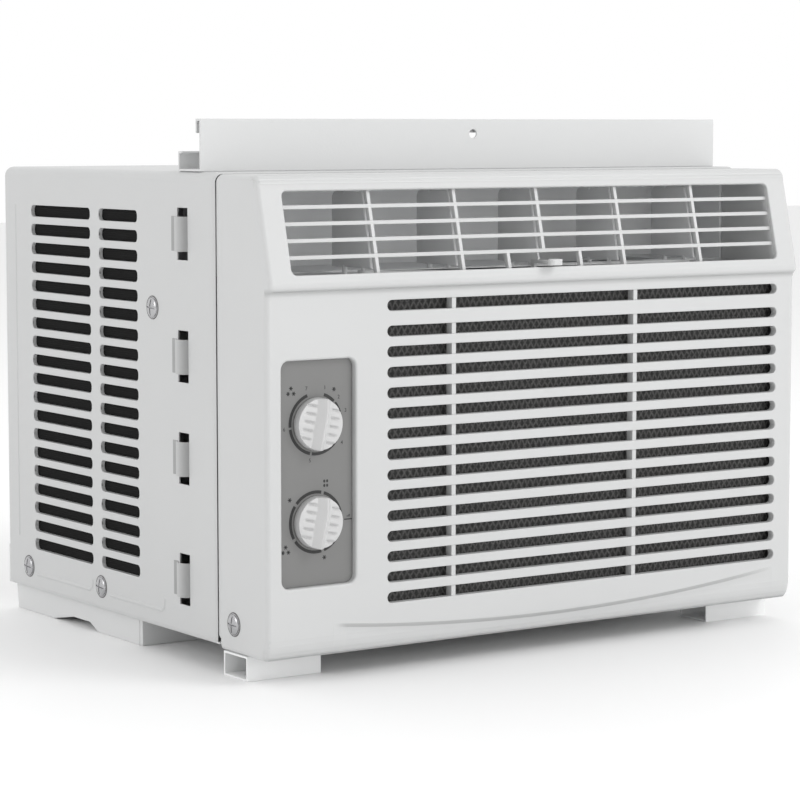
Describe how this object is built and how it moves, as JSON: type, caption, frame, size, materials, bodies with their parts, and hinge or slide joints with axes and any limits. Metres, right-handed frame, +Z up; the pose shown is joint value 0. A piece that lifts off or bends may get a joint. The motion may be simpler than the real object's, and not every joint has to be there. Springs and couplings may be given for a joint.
{
  "type": "window air conditioner",
  "caption": "Window air conditioner: vented steel cabinet, front panel with outlet vanes and intake slots, dials, sash rail and working parts inside.",
  "frame": {"origin": "centre of the whole unit's box in X and Y, on the sill plane under its feet", "axes": "+X to the unit's right as seen from inside the room, +Y through the window to the outside, +Z up"},
  "size_m": [0.415, 0.3486, 0.3305],
  "materials": {
    "panel_plastic": "fine moulded texture, satin",
    "knob_plastic": "satin",
    "filter_net": "woven plastic net",
    "plate_grey": "satin with fine texture",
    "cabinet_paint": "powder coat, light orange peel",
    "pan_steel": "galvanised sheet",
    "zinc_steel": "zinc plated",
    "duct_plastic": "matte",
    "black_plastic": "matte",
    "black_paint": "semi-gloss",
    "coil_aluminium": "fine louvred fins",
    "copper": "drawn copper",
    "black_rubber": "matte"
  },
  "bodies": {
    "unit": {"front_panel": "panel_plastic", "outlet_grille": "panel_plastic", "control_plate": "plate_grey", "thermostat": "zinc_steel", "selector_switch": "black_plastic", "control_box": "pan_steel", "capacitor": "zinc_steel", "capacitor_clamp": "zinc_steel", "cabinet": "cabinet_paint", "base_pan": "cabinet_paint", "sash_rail": "cabinet_paint", "front_foot_left": "cabinet_paint", "front_foot_right": "cabinet_paint", "cabinet_screws": "zinc_steel", "panel_screws": "zinc_steel", "rail_screws": "zinc_steel", "foot_screws": "zinc_steel", "bulkhead": "pan_steel", "outlet_duct": "duct_plastic", "blower_housing": "duct_plastic", "fan_motor": "black_paint", "motor_bracket": "pan_steel", "fan_shroud": "black_plastic", "condenser_fins": "coil_aluminium", "condenser_tubes": "copper", "condenser_plates": "pan_steel", "evaporator_fins": "coil_aluminium", "evaporator_tubes": "copper", "evaporator_plates": "pan_steel", "drain_tray": "black_plastic", "compressor_shell": "black_paint", "compressor_feet": "black_paint", "compressor_grommets": "black_rubber", "compressor_nuts": "zinc_steel", "terminal_cover": "black_plastic", "accumulator": "black_paint", "suction_pipe": "copper", "discharge_pipe": "copper", "liquid_pipe": "copper", "filter_drier": "copper", "capillary_tube": "copper", "sensing_bulb": "copper", "wiring": "black_rubber", "cord_gland": "black_rubber"},
    "temperature_dial": {"temperature_knob": "knob_plastic", "thermostat_shaft": "zinc_steel"},
    "mode_dial": {"mode_knob": "knob_plastic", "selector_shaft": "zinc_steel"},
    "filter": {"filter_frame": "black_plastic", "filter_mesh": "filter_net"},
    "rotor": {"motor_shaft": "zinc_steel", "blower_wheel": "black_plastic", "condenser_fan": "black_plastic", "shaft_nuts": "zinc_steel"},
    "vane_1": {"vane_1": "duct_plastic"},
    "vane_2": {"vane_2": "duct_plastic"},
    "vane_3": {"vane_3": "duct_plastic"},
    "vane_4": {"vane_4": "duct_plastic"},
    "vane_5": {"vane_5": "duct_plastic"},
    "vane_link": {"vane_link": "panel_plastic"}
  },
  "joints": [
    {"name": "temperature_turn", "type": "hinge", "parent": "unit", "child": "temperature_dial", "pos_m": [-0.1669, -0.16, 0.1528], "axis": [0, 1, 0], "range_deg": [0, 326]},
    {"name": "mode_turn", "type": "hinge", "parent": "unit", "child": "mode_dial", "pos_m": [-0.1669, -0.16, 0.0948], "axis": [0, 1, 0], "range_deg": [-216, 72]},
    {"name": "filter_slide", "type": "slide", "parent": "unit", "child": "filter", "axis": [1, 0, 0], "range_m": [0, 0.31]},
    {"name": "rotor_spin", "type": "hinge", "parent": "unit", "child": "rotor", "pos_m": [0.055, 0, 0.127], "axis": [0, 1, 0], "continuous": true},
    {"name": "vane_1_swing", "type": "hinge", "parent": "unit", "child": "vane_1", "pos_m": [-0.1242, -0.126, 0.26], "axis": [0, 0, 1], "range_deg": [-35, 35]},
    {"name": "vane_2_swing", "type": "hinge", "parent": "unit", "child": "vane_2", "pos_m": [-0.0621, -0.126, 0.26], "axis": [0, 0, 1], "range_deg": [-35, 35]},
    {"name": "vane_3_swing", "type": "hinge", "parent": "unit", "child": "vane_3", "pos_m": [0, -0.126, 0.26], "axis": [0, 0, 1], "range_deg": [-35, 35]},
    {"name": "vane_4_swing", "type": "hinge", "parent": "unit", "child": "vane_4", "pos_m": [0.0621, -0.126, 0.26], "axis": [0, 0, 1], "range_deg": [-35, 35]},
    {"name": "vane_5_swing", "type": "hinge", "parent": "unit", "child": "vane_5", "pos_m": [0.1242, -0.126, 0.26], "axis": [0, 0, 1], "range_deg": [-35, 35]},
    {"name": "link_pivot", "type": "hinge", "parent": "vane_3", "child": "vane_link", "pos_m": [0, -0.146, 0.24], "axis": [0, 0, 1], "range_deg": [-35, 35]}
  ],
  "couplings": [
    {"joint": "vane_1_swing", "follows": "vane_3_swing", "ratio": 1},
    {"joint": "vane_2_swing", "follows": "vane_3_swing", "ratio": 1},
    {"joint": "vane_4_swing", "follows": "vane_3_swing", "ratio": 1},
    {"joint": "vane_5_swing", "follows": "vane_3_swing", "ratio": 1},
    {"joint": "link_pivot", "follows": "vane_3_swing", "ratio": -1}
  ]
}
